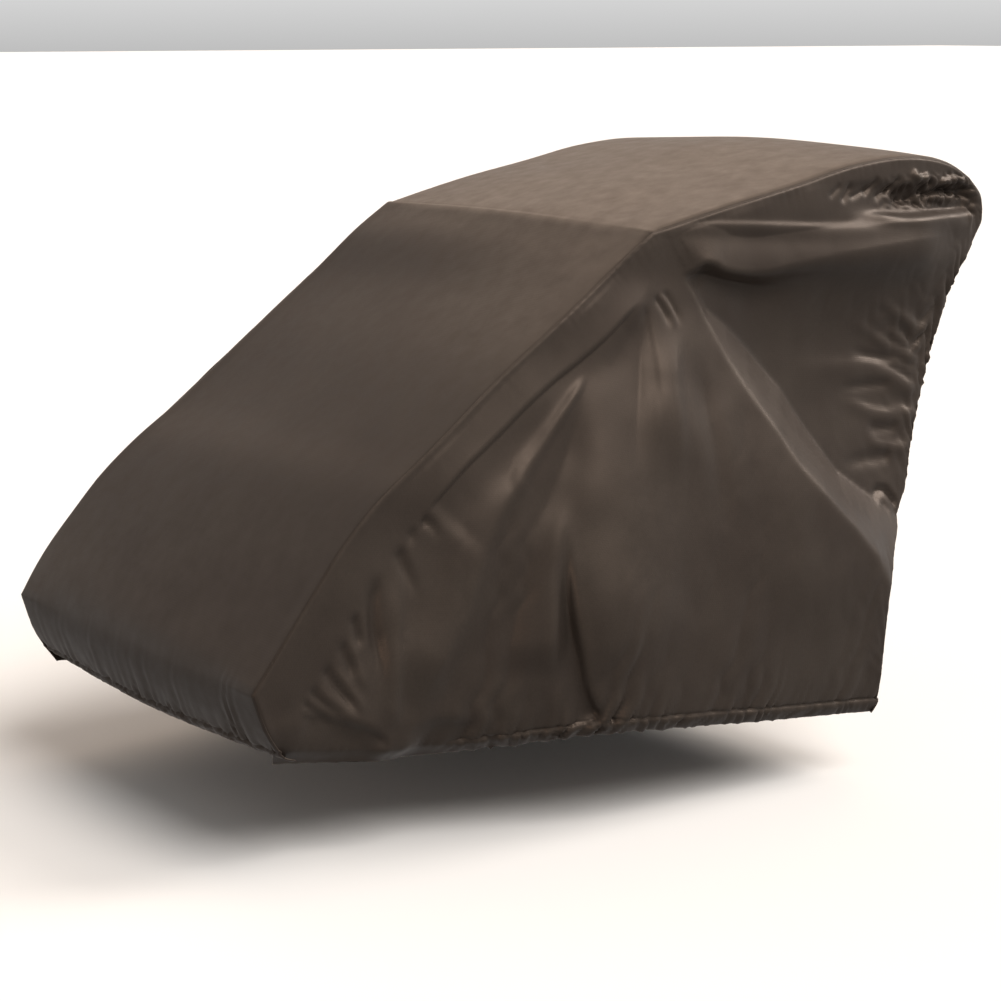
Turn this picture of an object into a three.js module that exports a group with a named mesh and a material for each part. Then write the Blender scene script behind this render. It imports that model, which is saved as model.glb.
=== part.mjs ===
import * as THREE from 'three';
import { mergeVertices } from 'three/addons/utils/BufferGeometryUtils.js';

// Bike trailer cover: one long centre strip (front, roof and back) with a side panel sewn to each edge.
// Lengths are millimetres. back is measured along the ground towards the rear, up above the ground and
// half out from the middle plane. The group at the end moves the whole cover so that the origin lies
// under the roof, where the cover hangs on what it fits over.

const clothThickness = 2;
const hemThickness = 4.5;       // the hem is folded over its elastic
const hemHeight = 22;
const seamGap = 1;              // clearance that each pair of sewn edges keeps
const mountBack = 150;          // where the roof rests, along the ground
const mountUp = 819;            // the roof's underside there, above the ground
const edgeFade = 45;            // folds die away over this distance before a seam

const clothColour = 0x4a423b;
const clothRoughness = 0.55;

// Grid of the sheets
const slopeSteps = 20;
const roofSteps = 28;
const acrossSteps = 11;
const hemRows = [0, hemHeight, hemHeight + 6];

// The seam between the centre strip and a side panel, seen from the side. crown is how far the middle of
// the strip stands out from its edges there.
const skirtLine = [
  { back: -654, up: 138, crown: 10 },
  { back: -676, up: 183, crown: 9 },
  { back: -693, up: 233, crown: 7 },
];
const slopeLine = [
  { back: -693, up: 233, crown: 7 },
  { back: -621, up: 326, crown: 6 },
  { back: -553, up: 409, crown: 6 },
  { back: -518, up: 443, crown: 6 },
  { back: -447, up: 497, crown: 5 },
  { back: -326, up: 591, crown: 4 },
  { back: -184, up: 688, crown: 5 },
  { back: -82, up: 757, crown: 8 },
];
const roofLine = [
  { back: -82, up: 757, crown: 8 },
  { back: 54, up: 788, crown: 13 },
  { back: 166, up: 810, crown: 14 },
  { back: 278, up: 833, crown: 12 },
  { back: 378, up: 840, crown: 12 },
  { back: 437, up: 833, crown: 13 },
  { back: 474, up: 822, crown: 14 },
  { back: 505, up: 806, crown: 14 },
];
const rearLine = [
  { back: 505, up: 806, crown: 14 },
  { back: 529, up: 782, crown: 13 },
  { back: 534, up: 752, crown: 10 },
  { back: 512, up: 709, crown: 6 },
  { back: 484, up: 668, crown: 2 },
  { back: 456, up: 600, crown: 0 },
  { back: 420, up: 518, crown: 2 },
  { back: 385, up: 442, crown: 4 },
  { back: 356, up: 366, crown: 6 },
  { back: 330, up: 330, crown: 8 },
  { back: 286, up: 300, crown: 12 },
  { back: 252, up: 261, crown: 17 },
  { back: 246, up: 219, crown: 20 },
  { back: 242, up: 152, crown: 20 },
  { back: 239, up: 86, crown: 16 },
];
const sideHemLine = [
  { back: -654, up: 138 },
  { back: -600, up: 131 },
  { back: -520, up: 122 },
  { back: -438, up: 114 },
  { back: -310, up: 121 },
  { back: -236, up: 126 },
  { back: -84, up: 118 },
  { back: 56, up: 103 },
  { back: 239, up: 86 },
];

// Half width of the side walls: a row for each station along the ground, a column for each height. The
// low middle is pushed out from inside.
const wallHeights = [80, 200, 320, 440, 520, 600, 660, 705, 748, 840];
const wallStations = [
  { back: -700, half: [341, 332, 331, 330, 329, 327, 326, 325, 322, 318] },
  { back: -560, half: [344, 338, 333, 328, 327, 325, 324, 322, 321, 318] },
  { back: -440, half: [350, 352, 348, 334, 329, 325, 324, 322, 321, 318] },
  { back: -320, half: [380, 388, 382, 360, 341, 329, 325, 322, 321, 318] },
  { back: -200, half: [426, 433, 426, 396, 368, 343, 330, 323, 321, 318] },
  { back: -80, half: [436, 437, 423, 400, 377, 350, 335, 325, 322, 318] },
  { back: 20, half: [433, 438, 429, 404, 379, 350, 334, 331, 329, 320] },
  { back: 90, half: [430, 438, 436, 410, 381, 350, 336, 334, 333, 320] },
  { back: 160, half: [429, 437, 436, 411, 381, 350, 338, 337, 334, 320] },
  { back: 280, half: [427, 435, 434, 409, 379, 348, 338, 340, 334, 320] },
  { back: 400, half: [425, 433, 430, 404, 374, 346, 334, 338, 329, 318] },
  { back: 520, half: [422, 430, 426, 398, 368, 338, 318, 304, 308, 306] },
];

// Under the arm at the back the cloth hangs further in, beyond a slanting step. The step starts at the
// crest line and is complete at the foot line, both drawn downwards in the side view.
const hollowStations = [
  { back: -80, half: [422, 424, 412, 390, 364, 343, 332, 325, 322, 318] },
  { back: 20, half: [410, 404, 386, 358, 339, 327, 325, 331, 329, 320] },
  { back: 90, half: [404, 394, 374, 346, 327, 317, 321, 333, 333, 320] },
  { back: 160, half: [400, 388, 366, 340, 321, 313, 321, 335, 334, 320] },
  { back: 280, half: [396, 382, 358, 334, 317, 310, 322, 338, 334, 320] },
  { back: 400, half: [392, 376, 352, 330, 314, 307, 317, 333, 329, 318] },
  { back: 520, half: [386, 370, 346, 324, 308, 303, 304, 307, 308, 306] },
];
const crestLine = [
  [-42, 715], [-20, 667], [12, 594], [41, 540], [73, 493], [102, 441],
  [142, 395], [187, 350], [225, 305], [251, 251], [262, 205],
];
const footLine = [
  [-32, 708], [5, 653], [43, 627], [83, 593], [140, 534],
  [189, 463], [229, 413], [288, 373], [332, 346], [430, 290],
];

// Main folds of the side panels: a ridge has a positive height, a valley a negative one, and width is how
// far its slope reaches to each side. The right panel hangs like the left one, but not alike in its folds.
const foldsLeft = [
  { fold: 'long front ridge', from: [-159, 625], to: [-430, 240], width: 36, height: 11 },
  { fold: 'valley behind it', from: [-250, 540], to: [-393, 180], width: 30, height: -9 },
  { fold: 'crease along the slope', from: [-108, 669], to: [-453, 421], width: 24, height: -6 },
  { fold: 'drop from the roof corner', from: [-108, 669], to: [-135, 430], width: 24, height: -7 },
  { fold: 'valley before the bulge', from: [-270, 380], to: [-250, 150], width: 30, height: -8 },
  { fold: 'swell before the bulge', from: [-225, 400], to: [-180, 200], width: 40, height: 5 },
  { fold: 'pull at the front corner', from: [-520, 350], to: [-514, 170], width: 26, height: -5 },
];
const foldsRight = [
  { fold: 'long front ridge', from: [-150, 610], to: [-400, 260], width: 40, height: 9 },
  { fold: 'valley behind it', from: [-210, 520], to: [-330, 190], width: 34, height: -8 },
  { fold: 'crease along the slope', from: [-130, 650], to: [-430, 430], width: 26, height: -5 },
  { fold: 'drop from the roof corner', from: [-70, 660], to: [-60, 450], width: 26, height: -6 },
  { fold: 'valley over the bulge', from: [90, 420], to: [110, 160], width: 36, height: -6 },
  { fold: 'pull at the front corner', from: [-540, 330], to: [-500, 165], width: 28, height: -5 },
];

// Shallow folds of the centre strip, placed by the distance from the front hem and the share of the half
// width, -1 at the left seam and 1 at the right one.
const foldsCentre = [
  { fold: 'slack across the roof', from: [1150, -0.8], to: [1420, 0.5], width: 60, height: -4 },
  { fold: 'slack down the slope', from: [420, 0.75], to: [880, 0.35], width: 70, height: -3 },
  { fold: 'left hang of the back', from: [1640, -0.7], to: [2250, -0.35], width: 60, height: 6 },
  { fold: 'right hang of the back', from: [1640, 0.7], to: [2250, 0.3], width: 60, height: 6 },
  { fold: 'middle of the back', from: [1750, 0.05], to: [2300, -0.05], width: 70, height: -5 },
];

const clamp01 = (value) => Math.min(1, Math.max(0, value));
const ease = (value) => clamp01(value) ** 2 * (3 - 2 * clamp01(value));

// A smooth curve through uneven stations
function through(stations, values, at) {
  const last = stations.length - 1;
  const x = Math.min(stations[last], Math.max(stations[0], at));
  let i = 0;
  while (i < last - 1 && x > stations[i + 1]) i += 1;
  const rise = (k) => (values[k + 1] - values[k]) / (stations[k + 1] - stations[k]);
  const slope = (k) => {
    if (k === 0) return rise(0);
    if (k === last) return rise(last - 1);
    const before = stations[k] - stations[k - 1];
    const after = stations[k + 1] - stations[k];
    return (rise(k - 1) * after + rise(k) * before) / (before + after);
  };
  const step = stations[i + 1] - stations[i];
  const t = (x - stations[i]) / step;
  return values[i] * (1 + 2 * t) * (1 - t) ** 2 + slope(i) * step * t * (1 - t) ** 2
    + values[i + 1] * t * t * (3 - 2 * t) + slope(i + 1) * step * t * t * (t - 1);
}

// Distance from a line in the side view, positive behind it
function behindLine(line, back, up) {
  let nearest = { gap: Infinity, side: 1 };
  for (let i = 1; i < line.length; i += 1) {
    const run = [line[i][0] - line[i - 1][0], line[i][1] - line[i - 1][1]];
    const away = [back - line[i - 1][0], up - line[i - 1][1]];
    const along = clamp01((away[0] * run[0] + away[1] * run[1]) / (run[0] ** 2 + run[1] ** 2));
    const gap = Math.hypot(away[0] - run[0] * along, away[1] - run[1] * along);
    const side = away[1] * run[0] >= away[0] * run[1] ? 1 : -1;
    if (gap < nearest.gap) nearest = { gap, side };
  }
  return nearest.gap * nearest.side;
}

function tableHalf(rows, back, up) {
  return through(rows.map((row) => row.back), rows.map((row) => through(wallHeights, row.half, up)), back);
}

function halfWidth(back, up) {
  const outer = tableHalf(wallStations, back, up);
  const fromCrest = behindLine(crestLine, back, up);
  const toFoot = -behindLine(footLine, back, up);
  if (fromCrest <= 0) return outer;
  const inner = tableHalf(hollowStations, back, up);
  if (toFoot <= 0) return inner;
  return outer + (inner - outer) * fromCrest / (fromCrest + toFoot);
}

// Height of all folds at a place: each is a soft ridge or trough along its line, fading at both ends
function foldHeight(folds, a, b, scaleB = 1) {
  let height = 0;
  for (const { from, to, width, height: full } of folds) {
    const run = [to[0] - from[0], (to[1] - from[1]) * scaleB];
    const away = [a - from[0], (b - from[1]) * scaleB];
    const length = Math.hypot(...run);
    const along = (away[0] * run[0] + away[1] * run[1]) / length ** 2;
    const aside = (away[0] * run[1] - away[1] * run[0]) / length;
    const ends = ease(along * 4 + 0.5) * ease((1 - along) * 3 + 0.5);
    height += full * Math.exp(-((aside / width) ** 2)) * ends;
  }
  return height;
}

// A stretch of the seam line as points, at given distances from its start or in even steps
function sampleLine(rows, steps, firstRows = [0]) {
  const curve = new THREE.SplineCurve(rows.map((row) => new THREE.Vector2(row.back, row.up)));
  const length = curve.getLength();
  const start = firstRows.at(-1) / length;
  const shares = firstRows.slice(0, -1).map((distance) => distance / length);
  for (let i = 0; i <= steps; i += 1) shares.push(Math.min(1, start + (1 - start) * i / steps));
  const stations = rows.map((row, i) => i / (rows.length - 1));
  return shares.map((share) => {
    const place = curve.getPointAt(share);
    const mid = rows[0].crown === undefined ? 0
      : through(stations, rows.map((row) => row.crown), curve.getUtoTmapping(share));
    return { back: place.x, up: place.y, crown: mid };
  });
}

const skirt = sampleLine(skirtLine, 3, hemRows);
const slope = sampleLine(slopeLine, slopeSteps);
const roof = sampleLine(roofLine, roofSteps);
const sideRows = skirt.length + slope.length - 1;
const rear = sampleLine([...rearLine].reverse(), sideRows - hemRows.length, hemRows).reverse();
const hem = sampleLine(sideHemLine, roofSteps);

// Share of the whole length at each point of a line
function shares(line) {
  const reach = [0];
  for (let i = 1; i < line.length; i += 1) {
    reach.push(reach[i - 1] + Math.hypot(line[i].back - line[i - 1].back, line[i].up - line[i - 1].up));
  }
  return reach.map((distance) => distance / reach.at(-1));
}

// The side panel fills its outline between four lines, and stands out by the wall's half width. sign is -1
// on the left and 1 on the right.
function sideGrid(sign, folds) {
  const front = [...skirt, ...slope.slice(1)];
  const back = [...rear].reverse();
  const frontShares = shares(front);
  const backShares = shares(back);
  const lowShares = shares(hem);
  const topShares = shares(roof);
  const mix = (key, i, j) => {
    const t = (frontShares[i] + backShares[i]) / 2;
    const s = (lowShares[j] + topShares[j]) / 2;
    const lines = (1 - t) * hem[j][key] + t * roof[j][key] + (1 - s) * front[i][key] + s * back[i][key];
    const corners = (1 - t) * ((1 - s) * hem[0][key] + s * hem.at(-1)[key])
      + t * ((1 - s) * roof[0][key] + s * roof.at(-1)[key]);
    return lines - corners;
  };
  const edgePoints = [...front, ...roof, ...back];
  return front.map((_, i) => hem.map((__, j) => {
    const onSeam = j === 0 || j === hem.length - 1 || i === front.length - 1;
    const place = { back: mix('back', i, j), up: mix('up', i, j) };
    if (j === 0) Object.assign(place, front[i]);
    if (j === hem.length - 1) Object.assign(place, back[i]);
    if (i === front.length - 1) Object.assign(place, roof[j]);
    let half = halfWidth(place.back, place.up);
    if (!onSeam) {
      const clear = Math.min(...edgePoints.map((p) => Math.hypot(p.back - place.back, p.up - place.up)));
      half += foldHeight(folds, place.back, place.up) * ease(clear / edgeFade);
    }
    return new THREE.Vector3(place.back, sign * half, place.up);
  }));
}

// The centre strip crosses from seam to seam, crowned along its whole length
function centreGrid() {
  const line = [...skirt, ...slope.slice(1), ...roof.slice(1), ...rear.slice(1)];
  let distance = 0;
  return line.map((row, i) => {
    const before = line[Math.max(0, i - 1)];
    const after = line[Math.min(line.length - 1, i + 1)];
    const run = new THREE.Vector2(after.back - before.back, after.up - before.up).normalize();
    if (i > 0) distance += Math.hypot(row.back - before.back, row.up - before.up);
    const half = halfWidth(row.back, row.up);
    return Array.from({ length: acrossSteps + 1 }, (_, j) => {
      const share = (2 * j) / acrossSteps - 1;
      const open = 1 - share * share;
      const onSeam = j === 0 || j === acrossSteps;
      const lift = onSeam ? 0
        : row.crown * open + foldHeight(foldsCentre, distance, share, half) * ease(open * 2);
      return new THREE.Vector3(row.back - run.y * lift, share * half, row.up + run.x * lift);
    });
  });
}

const spot = (p) => `${p.x.toFixed(2)} ${p.y.toFixed(2)} ${p.z.toFixed(2)}`;

// The two triangles of each small square, wound so that the cloth faces outwards
function gridFaces(rows, columns, flip) {
  const faces = [];
  for (let i = 0; i < rows - 1; i += 1) {
    for (let j = 0; j < columns - 1; j += 1) {
      const a = i * columns + j;
      const b = a + 1;
      const c = a + columns;
      const d = c + 1;
      faces.push(flip ? [a, c, b] : [a, b, c], flip ? [b, c, d] : [b, d, c]);
    }
  }
  return faces;
}

// Outward directions, shared where sheets meet, so that sewn edges are mitred
function addNormals(normals, points, faces) {
  for (const [a, b, c] of faces) {
    const side = new THREE.Vector3().subVectors(points[b], points[a]);
    const normal = side.cross(new THREE.Vector3().subVectors(points[c], points[a]));
    for (const k of [a, b, c]) {
      const key = spot(points[k]);
      if (!normals.has(key)) normals.set(key, { sum: new THREE.Vector3(), faces: [] });
      normals.get(key).sum.add(normal);
      normals.get(key).faces.push(normal.clone().normalize());
    }
  }
}

// A sheet becomes one closed solid: its outer face, its inner face and a rim
function sheetGeometry(sheet, normals) {
  const { points, faces, rows, columns, thick } = sheet;
  const count = points.length;
  const outer = points.map((p) => p.clone());
  const inner = points.map((p, k) => {
    const { sum, faces: around } = normals.get(spot(p));
    const out = sum.clone().normalize();
    const lean = Math.max(0.5, Math.min(...around.map((face) => face.dot(out))));
    return p.clone().addScaledVector(out, -thick[k] / lean);
  });
  const at = (i, j) => i * columns + j;
  const pull = (edge, next, before, after) => {
    const run = points[after].clone().sub(points[before]).normalize();
    const step = points[next].clone().sub(points[edge]);
    step.addScaledVector(run, -step.dot(run)).setLength(seamGap / 2);
    outer[edge].add(step);
    inner[edge].add(step);
  };
  const last = { i: rows - 1, j: columns - 1 };
  for (let i = 0; i < rows; i += 1) {
    const [up, down] = [Math.max(0, i - 1), Math.min(last.i, i + 1)];
    pull(at(i, 0), at(i, 1), at(up, 0), at(down, 0));
    pull(at(i, last.j), at(i, last.j - 1), at(up, last.j), at(down, last.j));
  }
  for (let j = 0; j < columns; j += 1) {
    const [near, far] = [Math.max(0, j - 1), Math.min(last.j, j + 1)];
    pull(at(0, j), at(1, j), at(0, near), at(0, far));
    pull(at(last.i, j), at(last.i - 1, j), at(last.i, near), at(last.i, far));
  }
  const rim = [];
  for (let j = 0; j < last.j; j += 1) rim.push([at(0, j), at(0, j + 1)]);
  for (let i = 0; i < last.i; i += 1) rim.push([at(i, last.j), at(i + 1, last.j)]);
  for (let j = last.j; j > 0; j -= 1) rim.push([at(last.i, j), at(last.i, j - 1)]);
  for (let i = last.i; i > 0; i -= 1) rim.push([at(i, 0), at(i - 1, 0)]);
  const triangles = faces.map((face) => [...face]);
  for (const [a, b, c] of faces) triangles.push([a + count, c + count, b + count]);
  for (const [a, b] of rim) {
    const [from, to] = sheet.flip ? [a, b] : [b, a];
    if (points[from].z < points[to].z) triangles.push([from, to, to + count], [from, to + count, from + count]);
    else triangles.push([from, to, from + count], [to, to + count, from + count]);
  }
  const geometry = new THREE.BufferGeometry();
  const corners = [...outer, ...inner].flatMap((p) => [p.x, p.y, p.z]);
  geometry.setAttribute('position', new THREE.Float32BufferAttribute(corners, 3));
  geometry.setIndex(triangles.flat());
  const closed = mergeVertices(geometry, 1e-4);
  closed.computeVertexNormals();
  return closed;
}

function makeSheet(name, grid, flip, hemEnds) {
  const rows = grid.length;
  const columns = grid[0].length;
  const thick = grid.flatMap((row, i) => {
    const fromStart = hemEnds.start && i < hemRows.length - 1;
    const fromEnd = hemEnds.end && i > rows - hemRows.length;
    return row.map(() => (fromStart || fromEnd ? hemThickness : clothThickness));
  });
  return { name, rows, columns, flip, thick, points: grid.flat(), faces: gridFaces(rows, columns, flip) };
}

const sheets = [
  makeSheet('centre_panel', centreGrid(), true, { start: true, end: true }),
  makeSheet('side_panel_left', sideGrid(-1, foldsLeft), false, { start: true }),
  makeSheet('side_panel_right', sideGrid(1, foldsRight), true, { start: true }),
];

const normals = new Map();
for (const sheet of sheets) addNormals(normals, sheet.points, sheet.faces);

const cover = new THREE.Group();
for (const sheet of sheets) {
  const material = new THREE.MeshStandardMaterial({
    color: clothColour, roughness: clothRoughness, metalness: 0, side: THREE.DoubleSide,
  });
  const mesh = new THREE.Mesh(sheetGeometry(sheet, normals), material);
  mesh.name = sheet.name;
  cover.add(mesh);
}

// The origin lies under the roof, on the middle plane
cover.position.set(-mountBack, 0, -mountUp);

export default cover;
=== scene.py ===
import math

import bpy
import numpy as np
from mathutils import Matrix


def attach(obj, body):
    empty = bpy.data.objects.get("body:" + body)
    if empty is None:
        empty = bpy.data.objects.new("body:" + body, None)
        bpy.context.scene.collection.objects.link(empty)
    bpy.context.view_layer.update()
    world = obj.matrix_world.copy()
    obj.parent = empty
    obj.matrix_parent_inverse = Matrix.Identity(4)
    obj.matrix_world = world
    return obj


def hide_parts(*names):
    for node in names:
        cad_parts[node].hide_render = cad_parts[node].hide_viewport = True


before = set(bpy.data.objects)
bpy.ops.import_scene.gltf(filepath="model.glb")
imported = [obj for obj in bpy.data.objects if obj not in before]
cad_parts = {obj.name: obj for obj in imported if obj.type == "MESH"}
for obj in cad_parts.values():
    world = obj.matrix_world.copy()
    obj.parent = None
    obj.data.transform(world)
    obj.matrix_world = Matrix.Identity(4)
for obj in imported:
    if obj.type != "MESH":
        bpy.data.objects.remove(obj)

bpy.ops.object.select_all(action="DESELECT")
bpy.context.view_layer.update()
print("frame loaded:", ", ".join(sorted(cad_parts)))

# All tables below are millimetres: back is measured along the ground towards the rear, up above the
# ground and half out from the middle plane. The origin lies under the roof.
place = {
    "mountBack": 150,
    "mountUp": 819,
}


def toScene(points):   # mm to metres around the origin
    return (np.asarray(points, float) - [place["mountBack"], 0, place["mountUp"]]) / 1000


# Camera and stage

camera = {
    "back": -2113,          # where it stands
    "half": -2876,
    "up": 1026,
    "azimuth": -35,
    "elevation": 10.83,
    "lens": 89.9,
    "film": 36,
    "sight": 400,           # m, how far it sees
}

stage = {
    "size": 160,            # m
    "colour": "#f3f2f0",
    "roughness": 0.9,
}


def toLinear(hexColour):
    parts = [int(hexColour[k:k + 2], 16) / 255 for k in (1, 3, 5)]
    return [p / 12.92 if p <= 0.04045 else ((p + 0.055) / 1.055) ** 2.4 for p in parts] + [1]


def addNode(tree, kind, settings=None, links=None):
    node = tree.nodes.new(kind)
    for key, value in (settings or {}).items():
        if hasattr(node, key):
            setattr(node, key, value)
        else:
            node.inputs[key].default_value = value
    for key, socket in (links or {}).items():
        tree.links.new(socket, node.inputs[key])
    return node


def newMaterial(name):
    material = bpy.data.materials.new(name)
    material.use_nodes = True
    material.node_tree.nodes.clear()
    return material, material.node_tree


def addCamera():
    spot = toScene([camera["back"], camera["half"], camera["up"]])
    turn = (math.radians(90 - camera["elevation"]), 0, math.radians(camera["azimuth"]))
    bpy.ops.object.camera_add(location=spot, rotation=turn)
    made = bpy.context.object
    made.data.lens = camera["lens"]
    made.data.sensor_width = camera["film"]
    made.data.clip_end = camera["sight"]
    bpy.context.scene.camera = made


def addFloor():
    ground = toScene([0, 0, 0])
    bpy.ops.mesh.primitive_plane_add(size=stage["size"], location=(0, 0, ground[2]))
    floor = bpy.context.object
    floor.name = "floor"
    material, tree = newMaterial("matte_painted_floor")   # flat white paint, so only a soft shadow shows
    shader = addNode(tree, "ShaderNodeBsdfPrincipled", {
        "Base Color": toLinear(stage["colour"]), "Roughness": stage["roughness"]})
    addNode(tree, "ShaderNodeOutputMaterial", links={"Surface": shader.outputs[0]})
    floor.data.materials.append(material)
    floor.visible_diffuse = False       # the dim lower sky lights the cloth from below, not the floor
    floor.visible_glossy = False


lights = [
    {"name": "high_side", "from": (0.12, -0.62, 0.77), "power": 2.25, "spread": 40, "colour": "#fffaf6"},
    {"name": "high_rear", "from": (0.76, -0.2, 0.62), "power": 1.9, "spread": 30, "colour": "#fff6ee"},
    {"name": "behind", "from": (0.42, 0.58, 0.7), "power": 0.8, "spread": 50, "colour": "#ffe2c8"},
    {"name": "far_front", "from": (-0.42, 0.78, 0.46), "power": 0.07, "spread": 25, "colour": "#ffe9d8"},
    {"name": "low_front", "from": (-0.88, -0.42, 0.2), "power": 0.42, "spread": 30, "colour": "#ffe2cc"},
]
sky = [                     # sine of the height above the horizon, strength
    (-0.04, 0.4),
    (0.03, 1),              # the pale studio wall
    (0.22, 0.3),
]


def addLights():
    for row in lights:
        x, y, z = row["from"]
        turn = (math.atan2(math.hypot(x, y), z), 0, math.atan2(x, -y))
        bpy.ops.object.light_add(type="SUN", location=row["from"], rotation=turn)
        lamp = bpy.context.object
        lamp.name = row["name"]
        lamp.data.energy = row["power"]
        lamp.data.color = toLinear(row["colour"])[:3]
        lamp.data.angle = math.radians(row["spread"])
    world = bpy.data.worlds.new("studio")
    world.use_nodes = True
    world.node_tree.nodes.clear()
    tree = world.node_tree
    direction = addNode(tree, "ShaderNodeTexCoord")
    parts = addNode(tree, "ShaderNodeSeparateXYZ", links={"Vector": direction.outputs["Generated"]})
    height = addNode(tree, "ShaderNodeMapRange", {"From Min": -1.0}, {"Value": parts.outputs["Z"]})
    ramp = addNode(tree, "ShaderNodeValToRGB", links={"Fac": height.outputs["Result"]})
    for k, (sine, strength) in enumerate(sky):
        stop = ramp.color_ramp.elements[k] if k < 2 else ramp.color_ramp.elements.new(1)
        stop.position = sine * 0.5 + 0.5
        stop.color = (strength, strength, strength, 1)
    glow = addNode(tree, "ShaderNodeBackground", links={"Strength": ramp.outputs["Color"]})
    addNode(tree, "ShaderNodeOutputWorld", links={"Surface": glow.outputs[0]})
    bpy.context.scene.world = world


addCamera()
addFloor()
addLights()
bpy.context.scene.view_settings.view_transform = "Standard"
print("camera, floor and lights placed")

# Curves, wavers and folds

def ease(share):   # 0 to 1 with a soft start and end
    share = np.clip(share, 0, 1)
    return share * share * (3 - 2 * share)


def unit(vectors):
    return vectors / (np.linalg.norm(vectors, axis=-1, keepdims=True) + 1e-12)


def leftOf(line):   # the unit direction to the left, at each point of a line
    run = unit(np.gradient(line, axis=0))
    return np.stack([-run[:, 1], run[:, 0]], axis=1)


def fromTable(table, at):   # rows of a table are (distance, value)
    return np.interp(at, *zip(*table))


def slopes(stations, values):
    rise = np.diff(values, axis=-1) / np.diff(stations)
    step = np.diff(stations)
    inner = (rise[..., :-1] * step[1:] + rise[..., 1:] * step[:-1]) / (step[1:] + step[:-1])
    return np.concatenate([rise[..., :1], inner, rise[..., -1:]], axis=-1)


# A smooth curve through uneven stations; values may hold one row for each place
def curveThrough(stations, values, at):
    stations = np.asarray(stations, float)
    values = np.asarray(values, float)
    at = np.clip(at, stations[0], stations[-1])
    k = np.clip(np.searchsorted(stations, at, side="right") - 1, 0, len(stations) - 2)
    slope = slopes(stations, values)
    rows = np.arange(len(at))
    pick = (lambda table, i: table[i]) if values.ndim == 1 else (lambda table, i: table[rows, i])
    step = stations[k + 1] - stations[k]
    t = (at - stations[k]) / step
    start = pick(values, k) * (1 + 2 * t) * (1 - t) ** 2 + pick(slope, k) * step * t * (1 - t) ** 2
    end = pick(values, k + 1) * t * t * (3 - 2 * t) + pick(slope, k + 1) * step * t * t * (t - 1)
    return start + end


def running(steps):
    return np.concatenate([[0], np.cumsum(steps)])


def lengths(points):
    return running(np.linalg.norm(np.diff(points, axis=0), axis=1))


def smoothLine(rows, perStretch=24):
    rows = np.asarray(rows, float)
    chord = lengths(rows[:, :2])
    at = np.interp(np.arange((len(rows) - 1) * perStretch + 1) / perStretch, range(len(rows)), chord)
    return np.stack([curveThrough(chord, rows[:, k], at) for k in range(rows.shape[1])], axis=1)


def atDistances(line, distances):
    reach = lengths(line[:, :2])
    return np.stack([np.interp(distances, reach, line[:, k]) for k in range(line.shape[1])], axis=1)


def waver(seed, wave, at):   # smooth random wobble along one axis, mostly within -1 and 1
    draw = np.random.default_rng(seed)
    total = np.zeros_like(at, dtype=float)
    for _ in range(6):
        length = wave * draw.uniform(0.65, 1.8)
        total += np.sin(2 * math.pi * at / length + draw.uniform(0, 2 * math.pi))
    return total / 2.4


def clouds(seed, wave, a, b):   # the same over two axes, as hills
    draw = np.random.default_rng(seed)
    total = np.zeros_like(a, dtype=float)
    for _ in range(12):
        heading = draw.uniform(0, 2 * math.pi)
        length = wave * draw.uniform(0.7, 1.7)
        across = a * math.cos(heading) + b * math.sin(heading)
        total += np.sin(2 * math.pi * across / length + draw.uniform(0, 2 * math.pi))
    return total / 3.4


def varied(seed, wave, at, middle, swing, low, high):   # a number that wanders about its middle value
    return np.clip(middle + swing * waver(seed, wave, at), low, high)


def humps(seed, wave, at):   # broad rounded humps with narrow valleys between, as elastic draws cloth up
    phase = math.pi * at / wave + 0.8 * waver(seed, 3.5 * wave, at) + 0.35 * waver(seed + 1, 1.6 * wave, at)
    return (np.abs(np.sin(phase)) - 0.62) * varied(seed + 2, 5 * wave, at, 0.72, 0.38, 0.25, 1.3)


def seamPuckers(seed, along, away):   # a seam's thread draws the cloth beside it up a little
    return humps(seed, 15, along) * np.exp(-away / 14) * ease(away / 3)


def nearLine(line, a, b):   # distance to a line, positive on its right, and the distance along it
    best = np.full(a.shape, 1e9)
    aside = np.zeros(a.shape)
    along = np.zeros(a.shape)
    reach = lengths(line)
    for k in range(len(line) - 1):
        run = line[k + 1] - line[k]
        size = np.linalg.norm(run)
        if size < 1e-9:
            continue
        run = run / size
        fromA = a - line[k, 0]
        fromB = b - line[k, 1]
        t = np.clip(fromA * run[0] + fromB * run[1], 0, size)
        away = np.hypot(fromA - run[0] * t, fromB - run[1] * t)
        closer = away < best
        turn = np.sign(fromA * run[1] - fromB * run[0])
        best = np.where(closer, away, best)
        aside = np.where(closer, away * np.where(turn == 0, 1, turn), aside)
        along = np.where(closer, reach[k] + t, along)
    return aside, along, reach[-1]


def atShare(value, share):   # a plain number, or one that changes from the start to the end
    if isinstance(value, tuple):
        return value[0] + (value[1] - value[0]) * share
    return value


# A fold is a ridge or trough along a line, left and right are its widths. A pair of numbers changes from
# the line's start to its end, and ends are the shares over which it fades. A flat side falls evenly
def fold(line, left, right, height, ends=(0.3, 0.3), sharp=2, flat=""):
    return line, left, right, height, ends, sharp, flat


foldShape = {
    "steps": 8,             # between two points of a curved line
    "reach": 2.6,           # widths, past which a fold counts for nothing
    "crest": 1.05,          # where a flat side starts, cut off at 1, which blunts its crest
}


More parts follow.
